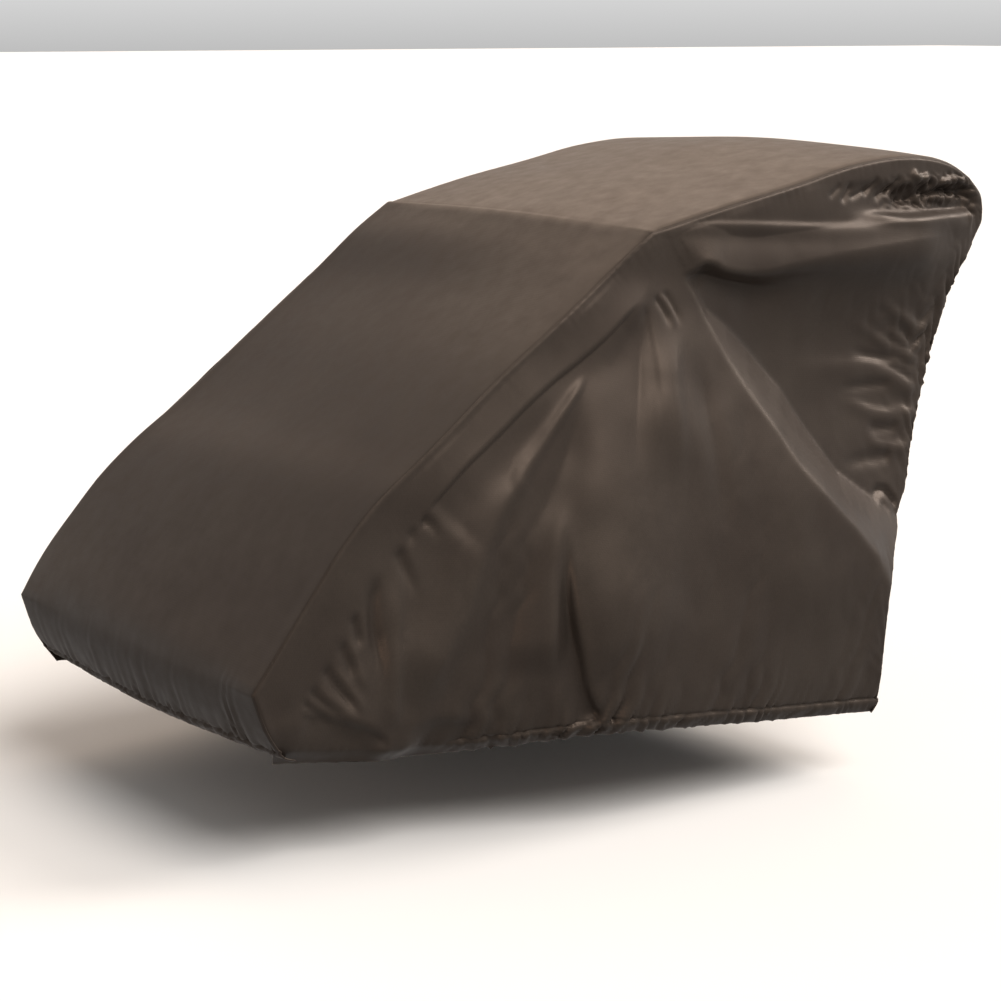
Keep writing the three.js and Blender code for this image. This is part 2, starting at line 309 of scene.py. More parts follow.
def foldHeight(folds, a, b):
    total = np.zeros(a.shape)
    for line, left, right, height, ends, sharp, flat in folds:
        line = smoothLine(line, foldShape["steps"])
        margin = foldShape["reach"] * max(np.max(left), np.max(right))
        low = line.min(axis=0) - margin
        high = line.max(axis=0) + margin
        inside = (a > low[0]) & (a < high[0]) & (b > low[1]) & (b < high[1])
        if not inside.any():
            continue
        aside, distance, size = nearLine(line, a[inside], b[inside])
        share = distance / size
        width = np.where(aside < 0, atShare(left, share), atShare(right, share))
        shape = np.exp(-(np.abs(aside) / width) ** sharp)
        if flat:
            flank = np.clip(foldShape["crest"] * (1 - np.abs(aside) / width), 0, 1)
            shape = np.where((aside > 0) == (flat == "right"), flank, shape)
        fade = ease(share / ends[0]) * ease((1 - share) / ends[1])
        total[inside] += atShare(height, share) * shape * fade
    return total


# The cover's lines and walls

seam = {
    "skirt": [(-654, 138, 10), (-676, 183, 9), (-693, 233, 7)],
    "slope": [(-693, 233, 7), (-621, 326, 6), (-553, 409, 6), (-518, 443, 6), (-447, 497, 5),
              (-326, 591, 4), (-184, 688, 5), (-82, 757, 8)],
    "roof": [(-82, 757, 8), (54, 788, 13), (166, 810, 14), (278, 833, 12), (378, 840, 12),
             (437, 833, 13), (474, 822, 14), (505, 806, 14)],
    "rear": [(505, 806, 14), (529, 782, 13), (534, 752, 10), (512, 709, 6), (484, 668, 2),
             (456, 600, 0), (420, 518, 2), (385, 442, 4), (356, 366, 6), (330, 330, 8), (286, 300, 12),
             (252, 261, 17), (246, 219, 20), (242, 152, 20), (239, 86, 16)],
    "hem": [(-654, 138), (-600, 131), (-520, 122), (-438, 114), (-310, 121), (-236, 126),
            (-84, 118), (56, 103), (239, 86)],
}

wall = {
    "heights": [80, 200, 320, 440, 520, 600, 660, 705, 748, 840],
    "half": {
        -700: [341, 332, 331, 330, 329, 327, 326, 325, 322, 318],
        -560: [344, 338, 333, 328, 327, 325, 324, 322, 321, 318],
        -440: [350, 352, 348, 334, 329, 325, 324, 322, 321, 318],
        -320: [380, 388, 382, 360, 341, 329, 325, 322, 321, 318],
        -200: [426, 433, 426, 396, 368, 343, 330, 323, 321, 318],
        -80: [436, 437, 423, 400, 377, 350, 335, 325, 322, 318],
        20: [433, 438, 429, 404, 379, 350, 334, 331, 329, 320],
        90: [430, 438, 436, 410, 381, 350, 336, 334, 333, 320],
        160: [429, 437, 436, 411, 381, 350, 338, 337, 334, 320],
        280: [427, 435, 434, 409, 379, 348, 338, 340, 334, 320],
        400: [425, 433, 430, 404, 374, 346, 334, 338, 329, 318],
        520: [422, 430, 426, 398, 368, 338, 318, 304, 308, 306],
    },
    "hollow": {             # the same under the arm at the back, where the cloth hangs further in
        -80: [422, 424, 412, 390, 364, 343, 332, 325, 322, 318],
        20: [410, 404, 386, 358, 339, 327, 325, 331, 329, 320],
        90: [404, 394, 374, 346, 327, 317, 321, 333, 333, 320],
        160: [400, 388, 366, 340, 321, 313, 321, 335, 334, 320],
        280: [396, 382, 358, 334, 317, 310, 322, 338, 334, 320],
        400: [392, 376, 352, 330, 314, 307, 317, 333, 329, 318],
        520: [386, 370, 346, 324, 308, 303, 304, 307, 308, 306],
    },
    "crest": [(-42, 715), (-20, 667), (12, 594), (41, 540), (73, 493), (102, 441), (142, 395),
              (187, 350), (225, 305), (251, 251), (262, 205)],
    "foot": [(-32, 708), (5, 653), (43, 627), (83, 593), (140, 534), (189, 463), (229, 413),
             (288, 373), (332, 346), (430, 290)],
    "blunt": 0.06,          # share of the way from crest to foot over which the crest is rounded
}

cloth = {
    "thickness": 1.6,
    "relief": 1.05,         # all folds are this much higher than their tables say
    "crestReach": (2, 5),   # grid steps over which a crest is looked for
    "seamTurn": [           # bend of the strip, mm past it and how deep a seam's edges turn in there
        (0, 0, 2), (1, 0, 1.4), (1, 30, 0.7), (2, -20, 0.7), (2, 20, 1.6), (3, -40, 1.6), (3, 20, 2.6)],
}

stretches = ("skirt", "slope", "roof", "rear")
lines = {name: smoothLine(rows) for name, rows in seam.items()}
lines["front"] = np.concatenate([lines["skirt"], lines["slope"][1:]])
lines["rearUp"] = lines["rear"][::-1]
lineSize = {name: lengths(line[:, :2])[-1] for name, line in lines.items()}

# Where a grid's fine steps lie, from a hem, from a seam and from the roof's front edge
hemSteps = [0, 2.5, 5.5, 8.5, 11.5, 14.5, 17.5, 20, 22, 24, 26.5]
seamSteps = [0, 1.2, 2.6, 4.2, 6.2, 9, 12.5]
edgeSteps = [0, 2.5, 5, 8, 12, 17]


def hollowShare(back, up):   # 0 before the crest, 1 beyond the foot and even between them
    near = -nearLine(np.asarray(wall["crest"], float), back, up)[0]
    far = nearLine(np.asarray(wall["foot"], float), back, up)[0]
    return np.where(near <= 0, 0, np.where(far <= 0, 1, near / np.maximum(near + far, 1e-6)))


def tableHalf(rows, back, up):   # how far out the wall stands, from a table by back and height
    flatUp = np.ravel(up)
    levels = np.stack([curveThrough(wall["heights"], row, flatUp) for row in rows.values()], axis=1)
    return curveThrough(list(rows), levels, np.ravel(back)).reshape(np.shape(back))


def wallHalf(back, up):
    share = hollowShare(back, up)
    share = (1 + wall["blunt"]) * share * share / (share + wall["blunt"])
    return tableHalf(wall["half"], back, up) * (1 - share) + tableHalf(wall["hollow"], back, up) * share


def pastBends(table, distance):   # rows of a table are (bend of the strip, mm past it, value)
    bends = running([lineSize[name] for name in stretches])
    return np.interp(distance, [bends[k] + past for k, past, _ in table], [row[2] for row in table])


def fromLine(line, back, up):   # how far a place is from a line, and how far along it
    aside, along, _ = nearLine(line, back, up)
    return np.abs(aside), along


def crowded(count, turn, finer):   # shares from 0 to 1, with smaller steps beyond the turn
    at = np.linspace(0, 1, 500)
    total = np.cumsum(1 + (finer - 1) * ease((at - turn) / 0.08 + 0.5))
    return np.interp(np.arange(count + 1) / count, (total - total[0]) / (total[-1] - total[0]), at)


# Fine steps at both ends of a length, and the given shares of what lies between
def spacing(total, fineStart, fineEnd, inner):
    middle = fineStart[-1] + (total - fineStart[-1] - fineEnd[-1]) * inner
    return np.concatenate([fineStart[:-1], middle, total - np.array(fineEnd[:-1])[::-1]])


def newPiece(name, points, faces):
    mesh = bpy.data.meshes.new(name)
    mesh.from_pydata(toScene(points).tolist(), [], faces.tolist())
    mesh.polygons.foreach_set("use_smooth", [True] * len(faces))
    piece = bpy.data.objects.new(name, mesh)
    bpy.context.scene.collection.objects.link(piece)
    return piece


def gridNormals(points, outward):
    down, across = np.gradient(points, axis=(0, 1))
    return unit(np.cross(down, across)) * outward


# A grid of points becomes a sheet with thickness, a cloth-sized UV map and a crest attribute
def makeSheet(name, points, outward):
    rows, columns = points.shape[:2]
    normal = gridNormals(points, outward)
    crest = np.zeros((rows, columns))
    for reach in cloth["crestReach"]:
        padded = np.pad(points, ((reach, reach), (reach, reach), (0, 0)), mode="edge")
        around = (padded[:-2 * reach, reach:-reach] + padded[2 * reach:, reach:-reach]
                  + padded[reach:-reach, :-2 * reach] + padded[reach:-reach, 2 * reach:]) / 4
        crest += ((points - around) * normal).sum(axis=2) / reach
    border = max(cloth["crestReach"])
    crest = np.pad(crest[border:-border, border:-border], border)
    index = np.arange(rows * columns).reshape(rows, columns)
    corners = [index[:-1, :-1], index[:-1, 1:], index[1:, 1:], index[1:, :-1]][::outward]
    faces = np.stack([corner.ravel() for corner in corners], axis=1)
    piece = newPiece(name, points.reshape(-1, 3), faces)
    down = np.linalg.norm(np.diff(points, axis=0), axis=2).mean(axis=1)
    across = np.linalg.norm(np.diff(points, axis=1), axis=2).mean(axis=0)
    flat = np.stack(np.meshgrid(running(across), running(down)), axis=2).reshape(-1, 2) / 1000
    layer = piece.data.uv_layers.new(name="cloth")
    layer.data.foreach_set("uv", flat[faces.ravel()].ravel())
    attribute = piece.data.attributes.new("crest", "FLOAT", "POINT")
    attribute.data.foreach_set("value", crest.ravel())
    bpy.ops.object.select_all(action="DESELECT")
    piece.select_set(True)
    bpy.context.view_layer.objects.active = piece
    solid = piece.modifiers.new("thickness", "SOLIDIFY")
    solid.thickness = cloth["thickness"] / 1000
    solid.offset = -1
    bpy.ops.object.modifier_apply(modifier=solid.name)
    print(name, "faces", len(piece.data.polygons))
    return piece, normal


thread = {
    "pitch": 6.4,
    "long": 4.7,
    "thick": 0.8,
    "taper": [0.5, 1, 0.5],         # at the start, middle and end of a stitch
    "proud": [-0.2, 0.35, -0.2],    # in thicknesses; the ends are sunk in the cloth
    "margin": 5,                    # left free at both ends of a row
    "colour": "#4d433b",
    "roughness": 0.5,
    "sheen": 0.3,
}


def stitchRow(path, normal):   # short raised threads along a line on the cloth
    reach = lengths(path)
    starts = np.arange(thread["margin"], reach[-1] - thread["margin"] - thread["long"], thread["pitch"])
    at = starts[:, None] + thread["long"] * np.array([0, 0.5, 1])
    spot, out = [np.stack([np.interp(at, reach, rows[:, k]) for k in range(3)], axis=2)
                 for rows in (path, normal)]
    out = unit(out)
    aside = np.cross(out, unit(spot[:, 2:] - spot[:, :1]))
    radius = thread["thick"] / 2 * np.array(thread["taper"])[:, None]
    middle = spot + out * thread["thick"] * np.array(thread["proud"])[:, None]
    ring = [middle + out * radius, middle + aside * radius, middle - out * radius, middle - aside * radius]
    return np.stack(ring, axis=2).reshape(-1, 3)


def makeStitches(name, rows):
    points = np.concatenate([stitchRow(path, normal) for path, normal in rows])
    first = np.arange(0, len(points), 12)[:, None]      # each has three rings of four points
    faces = [first + [0, 1, 2, 3], first + [11, 10, 9, 8]]
    for ring in (0, 4):
        for k in range(4):
            after = (k + 1) % 4
            faces.append(first + [ring + k, ring + 4 + k, ring + 4 + after, ring + after])
    print(name, "stitches", len(first))
    return newPiece(name, points, np.concatenate(faces))


casing = {
    "height": 20,           # from the hem's edge to its stitches
    "groove": 2.2,          # how wide the groove at the stitches is
    "under": 56,            # how far up the cloth is drawn in
    "wander": 4,            # how far the gathers stray
}


# The gathered casing and the puckers above it. In a plan's tables, by distance, pull is the elastic's,
# show how much the casing stands out, tuck and under how far its edge and the cloth above are drawn in,
# and uneven how far the edge rises and falls
def hemShape(plan, distance, away):
    seed, height = plan["seed"], casing["height"]
    pull, tuck, show, under = [fromTable(plan[name], distance) for name in ("pull", "tuck", "show", "under")]
    inside = ease((height + 2 - away) / 4) * show
    lean = distance + plan["slant"] * away + casing["wander"] * waver(seed + 7, 30, away + 0.2 * distance)
    beads = humps(seed, plan["wave"], lean) + 0.5 * humps(seed + 3, plan["wave"] * 0.55, lean)
    arch = np.sin(math.pi * np.clip(away / height, 0, 1)) ** 0.6
    lift = inside * plan["puff"] * arch * (1 + 0.9 * pull * beads)
    lift += inside * 0.45 * plan["puff"] * pull * beads
    lift -= plan["groove"] * np.exp(-((away - height) / casing["groove"]) ** 2) * show
    lift -= tuck * ease(1 - away / height) ** 0.8
    lift -= under * np.clip(1 - away / casing["under"], 0, 1) ** 1.6
    above = ease((away - height + 8) / 9)
    for k, (wave, reach, size) in enumerate(plan["puckers"]):
        strength = varied(seed + 20 + k, 6 * wave, distance, 0.75, 0.75, 0.05, 1.8)
        wobble = 0.1 * wave * waver(seed + 40 + k, 60, away) + plan["slant"] * away
        ripple = humps(seed + 10 * k + 5, wave, distance + wobble)
        length = reach * varied(seed + 50 + k, 3 * wave, distance, 1, 0.6, 0.4, 1.8)
        lift += size * pull * above * strength * ripple * np.exp(-np.clip(away - height, 0, None) / length)
    return lift


# Ruffles where the back seam is drawn up, fading into the panel
def gatherShape(plan, distance, away):
    lift = np.zeros(distance.shape)
    bell = np.exp(-((distance - plan["middle"]) / plan["spread"]) ** 2)
    focus = plan["floor"] + (1 - plan["floor"]) * bell
    for k, (wave, reach, size) in enumerate(plan["ruffles"]):
        seed = plan["seed"] + 10 * k
        wobble = plan["lean"] * away + 0.3 * wave * waver(seed + 60, 45, away + 30 * k)
        strength = varied(seed + 80, 6 * wave, distance, 0.75, 0.7, 0.05, 1.7)
        ripple = humps(seed, wave, distance + wobble)
        length = reach * varied(seed + 90, 3 * wave, distance, 1, 0.5, 0.4, 1.8)
        lift += size * strength * ripple * np.exp(-(away / length) ** 1.3) * ease((away + 2) / 5)
    return lift * focus


scallops = {
    "middle": 300,          # down the back seam
    "spread": 170,
    "fade": 9,              # how far they reach from the seam
    "out": {"seed": 401, "wave": 16, "shift": 0, "size": 2.4},
    "wide": {"seed": 405, "wave": 17, "shift": 5, "size": 3.2},
}


# The back edge itself is drawn into scallops: how far out of its own line, and how far outwards
def rearScallops(distance):
    focus = np.exp(-((distance - scallops["middle"]) / scallops["spread"]) ** 2)
    return [row["size"] * focus * humps(row["seed"], row["wave"], distance + row["shift"])
            for row in (scallops["out"], scallops["wide"])]


# On the far side the slope sags a little, by share of its length
farSag = [(0, 0), (0.07, 4), (0.2, 0), (0.35, -10), (0.5, -15), (0.65, -15), (0.8, -9), (0.92, 2), (1, 2)]


def slopeSag(share):
    return curveThrough(*zip(*farSag), np.clip(share, 0, 1)) * (share > 0) * (share < 1)


# Side panels

# The photographed side: the arm, the band along the slope, the long ridges, the front corner's puckers,
# the hem, the wrinkles of the back seam and the pocket at the top
leftFolds = [
    fold([(-44, 702), (-23, 709), (-7, 717), (8, 715), (22, 708), (60, 702), (147, 708), (227, 715),
          (307, 720), (391, 725), (468, 728)],
         (48, 28), (4, 40), (13, 10), flat="left", ends=(0.1, 0.2)),
    fold([(-38, 690), (-8, 698), (40, 688), (110, 672), (200, 668)],
         (5, 14), (14, 44), (-10, -4), ends=(0.15, 0.6)),
    fold([(-76, 764), (-21, 764), (48, 761), (145, 754), (242, 748), (325, 750), (420, 752), (512, 751)],
         (4, 10), (9, 22), (2, 6), ends=(0.02, 0.02)),
    fold([(-74, 706), (-112, 671), (-150, 643), (-246, 583)],
         (13, 26), (50, 46), 5.5, flat="right", ends=(0.4, 0.6)),
    fold([(-200, 612), (-246, 583), (-307, 540), (-382, 484), (-443, 430), (-480, 396)],
         (20, 52), 45, (4, 9), flat="right", ends=(0.4, 0.3)),
    fold([(-115, 667), (-152, 640), (-248, 580), (-309, 537), (-384, 481), (-444, 428)],
         (40, 70), 3, -5, ends=(0.1, 0.06)),
    fold([(-206, 586), (-226, 562), (-256, 530), (-297, 489), (-323, 459), (-351, 425), (-373, 390)],
         (4, 12), (5, 16), (3.4, 5), ends=(0.15, 0.5)),
    fold([(-256, 530), (-297, 489), (-323, 459), (-351, 425), (-373, 390), (-391, 352), (-408, 314),
          (-440, 250), (-480, 180)],
         (12, 24), (22, 60), (4, 20), ends=(0.35, 0.2)),
    fold([(-200, 570), (-240, 510), (-280, 440), (-312, 380), (-344, 300), (-376, 200)],
         (20, 46), (8, 30), (-5, -9), ends=(0.25, 0.2)),
    fold([(-262, 450), (-280, 397), (-287, 340), (-296, 280), (-306, 207)],
         14, (45, 90), (4, 13), flat="right", ends=(0.35, 0.2)),
    fold([(-268, 405), (-275, 339), (-275, 286), (-266, 231), (-252, 170), (-238, 146)],
         6, (12, 26), -13, sharp=2.4, ends=(0.4, 0.05)),
    fold([(-212, 410), (-228, 340), (-226, 260), (-210, 190)], 130, 40, 8, flat="left", ends=(0.6, 0.3)),
    fold([(-105, 668), (-104, 604), (-110, 553), (-120, 501), (-128, 440)],
         70, (8, 36), (4, 14), flat="right", ends=(0.4, 0.5)),
    fold([(-105, 668), (-104, 604), (-110, 553), (-120, 501)], 4, 9, -2.4, ends=(0.1, 0.5)),
    fold([(-88, 678), (-74, 655), (-67, 632)], 4, 5, -3, sharp=1.6, ends=(0.2, 0.4)),
    fold([(-72, 684), (-57, 657), (-50, 632)], 4, 5, -2.5, sharp=1.6, ends=(0.2, 0.4)),
    fold([(-80, 680), (-65, 655), (-58, 630)], 4, 4, 1.4, ends=(0.2, 0.4)),
    fold([(-60, 640), (-84, 560), (-96, 470), (-98, 400)], 14, 22, 4.5, ends=(0.3, 0.5)),
    fold([(-40, 600), (-30, 520), (-28, 440), (-30, 360)], 14, 20, -4.5, ends=(0.3, 0.5)),
    fold([(-455, 422), (-441, 416), (-434, 404), (-434, 389)], 5, 8, -5.2, sharp=1.7, ends=(0.12, 0.8)),
    fold([(-465, 411), (-470, 399), (-466, 386)], 5, 6, -3, ends=(0.3, 0.7)),
    fold([(-490, 392), (-481, 363), (-473, 341), (-467, 318)], 6, 9, -6, sharp=2.3, ends=(0.2, 0.8)),
    fold([(-519, 364), (-525, 333), (-526, 298), (-522, 267), (-516, 200)],
         7, 11, -6.8, sharp=2.3, ends=(0.2, 0.5)),
    fold([(-555, 317), (-550, 295), (-544, 266)], 5, 7, -5.2, sharp=2.2, ends=(0.25, 0.35)),
    fold([(-572, 284), (-562, 259), (-552, 232)], 5, 7, -4.5, sharp=2.2, ends=(0.25, 0.35)),
    fold([(-595, 259), (-577, 230), (-552, 195)], 5, 7, -5.2, sharp=2.2, ends=(0.2, 0.3)),
    fold([(-616, 234), (-594, 211), (-562, 186)], 5, 7, -4.5, sharp=2.2, ends=(0.2, 0.3)),
    fold([(-627, 216), (-604, 199), (-586, 186)], 4, 6, -3.8, sharp=2.2, ends=(0.2, 0.3)),
    fold([(-563, 285), (-553, 252), (-540, 215)], 5, 5, 3),
    fold([(-585, 256), (-566, 225), (-543, 190)], 5, 5, 3),
    fold([(-606, 234), (-584, 206), (-556, 182)], 5, 5, 3),
    fold([(-497, 366), (-499, 295), (-504, 230), (-508, 165)], 12, 15, 5.2, ends=(0.3, 0.15)),
    fold([(-636, 196), (-576, 182), (-528, 160), (-513, 146)], 5, 26, -6.8, ends=(0.2, 0.15)),
    fold([(-612, 226), (-575, 196), (-545, 176), (-512, 142), (-490, 144), (-452, 168), (-402, 172),
          (-366, 170)],
         (90, 170), 16, (9, 10), flat="left", ends=(0.3, 0.5)),
    fold([(-492, 148), (-462, 161), (-423, 161), (-382, 145)], 9, 24, -5),
    fold([(300, 648), (339, 638), (368, 624), (400, 606), (428, 596)],
         (4, 7), (5, 12), (2, 4), ends=(0.5, 0.05)),
    fold([(262, 624), (302, 607), (338, 586), (377, 566), (410, 551)],
         (4, 6), (7, 14), (2, 4), ends=(0.5, 0.05)),
    fold([(128, 559), (184, 557), (260, 554), (321, 544), (355, 531), (385, 516), (402, 508)],
         (20, 6), (36, 12), (3, 5), ends=(0.5, 0.05)),
    fold([(236, 513), (289, 499), (329, 485), (374, 481), (395, 478)],
         (4, 6), (10, 16), (2.5, 4.5), ends=(0.5, 0.05)),
    fold([(290, 466), (315, 447), (361, 435), (380, 432)], (4, 6), (6, 12), (2, 3.5), ends=(0.4, 0.05)),
    fold([(330, 612), (362, 596), (402, 574), (418, 570)], 3, 5, (2, 3.5), ends=(0.4, 0.1)),
    fold([(346, 552), (372, 546), (396, 532)], 3, 4, 3, ends=(0.4, 0.1)),
    fold([(272, 579), (314, 564), (372, 555)], 5, 7, -3, ends=(0.4, 0.3)),
    fold([(250, 526), (299, 523), (359, 519)], 6, 6, -3.5, ends=(0.4, 0.2)),
    fold([(300, 472), (334, 466), (362, 466)], 5, 6, -3, ends=(0.3, 0.2)),
    fold([(232, 420), (284, 426), (344, 427)], 9, 12, -4, ends=(0.5, 0.1)),
    fold([(288, 376), (320, 378), (336, 362), (348, 349)], 4, 5, -6, ends=(0.25, 0.2)),
    fold([(290, 364), (316, 360), (330, 344)], 5, 6, 2.5, ends=(0.3, 0.2)),
    fold([(215, 795), (265, 792), (340, 788), (420, 782), (512, 776)],
         (16, 20), (27, 29), (-9, -12), sharp=4, ends=(0.45, 0.05)),
    fold([(338, 783), (368, 786), (402, 780)], 12, 9, -9, sharp=2.4, ends=(0.25, 0.25)),
    fold([(214, 790), (230, 801), (243, 810)], 4, 5, -2),
    fold([(236, 783), (251, 797), (262, 812)], 4, 7, -3.5),
    fold([(252, 789), (273, 795), (296, 805)], 3, 5, -3),
    fold([(284, 790), (301, 805), (316, 815)], 5, 4, -4.5),
    fold([(302, 788), (323, 795), (345, 803)], 3, 6, -4),
    fold([(328, 791), (340, 803), (355, 816)], 4, 4, -5),
    fold([(388, 824), (382, 815), (396, 810), (414, 817)], 4, 5, 6, ends=(0.25, 0.25)),
    fold([(393, 797), (424, 789), (440, 796), (481, 791), (514, 794)],
         4, 5, -8, sharp=1.7, ends=(0.2, 0.15)),
    fold([(404, 780), (430, 784), (458, 778), (492, 784)], 5, 5, 7),
    fold([(418, 806), (448, 803), (478, 806), (505, 802)], 5, 5, 6),
    fold([(270, 763), (312, 761), (351, 757), (427, 757), (512, 756)], 5, 9, 5, ends=(0.2, 0.05)),
    fold([(474, 777), (500, 783), (513, 774), (508, 762), (522, 753)], 4, 4, -7, sharp=1.6, ends=(0.2, 0.2)),
]

leftSide = {
    "name": "side_panel_left",
    "stitches": "hem_stitches_left",
    "sign": -1,
    "flat": (1.25, 0.80),   # m
    "area": 0.62,
    "hem": {"seed": 11, "wave": 18, "puff": 3.4, "groove": 2, "slant": -0.3,
            "show": [(0, 0.1), (210, 0.15), (260, 1), (900, 1)],
            "pull": [(0, 0.5), (190, 0.45), (250, 1.3), (330, 2.2), (430, 2), (520, 1.2), (700, 0.9),
                     (900, 0.6)],
            "tuck": [(0, 10), (200, 10), (300, 8), (600, 7), (900, 5)],
            "under": [(0, 22), (60, 20), (110, 9), (140, 9), (190, 22), (250, 18), (320, 5), (900, 3)],
            "uneven": [(0, 1), (200, 1.5), (300, 4.5), (450, 4), (600, 2.5), (800, 1), (900, 0)],
            "puckers": [(15, 20, 2.8), (24, 38, 3.6), (48, 110, 4.4)]},
    "gather": {"seed": 31, "middle": 300, "spread": 150, "floor": 0.22, "lean": 0.35,
               "ruffles": [(15, 12, 6.5), (27, 34, 5.5), (48, 85, 4)]},
    "folds": leftFolds,
    "crumple": {"seed": 51, "back": 430, "up": 792, "long": 95, "tall": 20, "height": 3.4, "wave": 22},
}

rightFolds = [
    fold([(-30, 708), (0, 714), (60, 702), (170, 690)], (8, 20), (10, 34), -8, ends=(0.1, 0.6)),
    fold([(-120, 662), (-190, 612), (-280, 552), (-370, 486), (-430, 436)],
         9, 8, -5, sharp=1.4, ends=(0.15, 0.15)),
    fold([(-150, 610), (-215, 530), (-290, 450), (-350, 370), (-395, 270)], 38, 26, 9, ends=(0.12, 0.25)),
    fold([(-190, 520), (-250, 420), (-300, 310), (-325, 195)], 18, 28, -9, ends=(0.3, 0.25)),
    fold([(-70, 664), (-68, 590), (-62, 500), (-60, 430)], (5, 18), (4, 10), -9, ends=(0.1, 0.5)),
    fold([(60, 430), (84, 330), (98, 230), (106, 160)], 22, 18, -6, ends=(0.35, 0.15)),
    fold([(-480, 400), (-470, 330), (-452, 250)], 9, 8, -5, sharp=1.7, ends=(0.3, 0.35)),
    fold([(-540, 330), (-528, 260), (-510, 185)], 7, 8, -5, sharp=1.7, ends=(0.25, 0.3)),
    fold([(-585, 268), (-556, 222), (-520, 176)], 6, 6, -5, sharp=1.7, ends=(0.25, 0.3)),
    fold([(-618, 215), (-575, 186), (-522, 164)], 5, 6, -4.5, sharp=1.6, ends=(0.25, 0.3)),
    fold([(340, 612), (400, 596), (452, 580)], 8, 9, 6, ends=(0.5, 0.1)),
    fold([(250, 560), (340, 530), (424, 508)], 9, 9, 6, ends=(0.6, 0.1)),
    fold([(150, 520), (260, 490), (372, 456)], 9, 10, 6, ends=(0.6, 0.12)),
    fold([(-76, 757), (-9, 761), (62, 759), (138, 751), (219, 749), (300, 756), (390, 757), (506, 755)],
         (12, 24), (24, 30), (4, 8), ends=(0.02, 0.02)),
    fold([(230, 792), (300, 790), (380, 786), (450, 782), (510, 778)],
         (16, 20), (14, 18), (-10, -13), sharp=3, ends=(0.25, 0.06)),
    fold([(330, 790), (365, 780), (400, 790), (428, 802)], 6, 7, -6, sharp=1.6),
    fold([(352, 770), (388, 772), (430, 778), (480, 788)], 7, 8, -7, sharp=1.7, ends=(0.25, 0.3)),
    fold([(420, 812), (448, 806), (474, 804)], 5, 6, -5, sharp=1.6),
]

rightSide = {
    "name": "side_panel_right",
    "stitches": "hem_stitches_right",
    "sign": 1,
    "flat": (1.25, 0.80),
    "area": 0.62,
    "hem": {"seed": 111, "wave": 16, "puff": 3.4, "groove": 2, "slant": -0.25,
            "pull": [(0, 0.6), (160, 0.7), (240, 1.5), (360, 1.8), (480, 1.2), (680, 0.8), (900, 0.6)],
            "show": [(0, 0.3), (200, 0.5), (270, 1), (900, 1)],
            "tuck": [(0, 11), (200, 10), (320, 8), (600, 7), (900, 5)],
            "under": [(0, 18), (80, 16), (120, 9), (180, 16), (260, 10), (340, 5), (900, 3)],
            "uneven": [(0, 1), (200, 2), (300, 4.5), (450, 3.5), (600, 2), (800, 1), (900, 0)],
            "puckers": [(17, 22, 2.8), (27, 42, 3), (58, 120, 2.8)]},
    "gather": {"seed": 131, "middle": 310, "spread": 160, "floor": 0.22, "lean": 0.3,
               "ruffles": [(15, 12, 6.2), (28, 36, 5.2), (50, 90, 4)]},
    "folds": rightFolds,
    "crumple": {"seed": 151, "back": 410, "up": 790, "long": 90, "tall": 20, "height": 3.6, "wave": 24},
}

sideGrid = {
    "rows": crowded(176, 0.78, 2.0),        # finer in the upper part, where the small creases are
    "columns": np.linspace(0, 1, 233),
}

sideCloth = {
    "seamEase": 14,         # folds fade out over this distance from a seam
    "stray": {"size": 2.2, "wave": 150, "top": 700, "fade": 160},       # of folds, below the top
    "uneven": {"wave": 27, "reach": 15},        # of the hem's edge
    "sway": [(300, 150, 0.7), (301, 55, 0.25)],     # broad hills: added seed, wave and size
    "pucker": 0.6,
    "turnFade": 3.5,        # how far in from a seam its edges start to turn
}


def shares(line):
    reach = lengths(line)
    return reach / reach[-1]


def sideOutline(sign):   # up the front, up the back, along the hem and along the top, at matching steps
    front, rear, low, top = [
        atDistances(lines[name][:, :2], spacing(lineSize[name], first, seamSteps, sideGrid[side]))
        for name, first, side in (("front", hemSteps, "rows"), ("rearUp", hemSteps, "rows"),
                                  ("hem", seamSteps, "columns"), ("roof", seamSteps, "columns"))]
    if sign > 0:                # only the far side sags
        share = (lengths(front) - lineSize["skirt"]) / lineSize["slope"]
        front += slopeSag(share)[:, None] * leftOf(front)
    rear -= rearScallops(lengths(rear)[-1] - lengths(rear))[0][:, None] * leftOf(rear)
    return front, rear, low, top


def fillOutline(sign):   # places inside the outline, in the side view
    front, back, low, top = sideOutline(sign)
    t = ((shares(front) + shares(back)) / 2)[:, None, None]
    s = ((shares(low) + shares(top)) / 2)[None, :, None]
    sides = (1 - t) * low + t * top + (1 - s) * front[:, None] + s * back[:, None]
    corners = (1 - t) * ((1 - s) * low[0] + s * low[-1]) + t * ((1 - s) * top[0] + s * top[-1])
    return np.moveaxis(sides - corners, 2, 0)


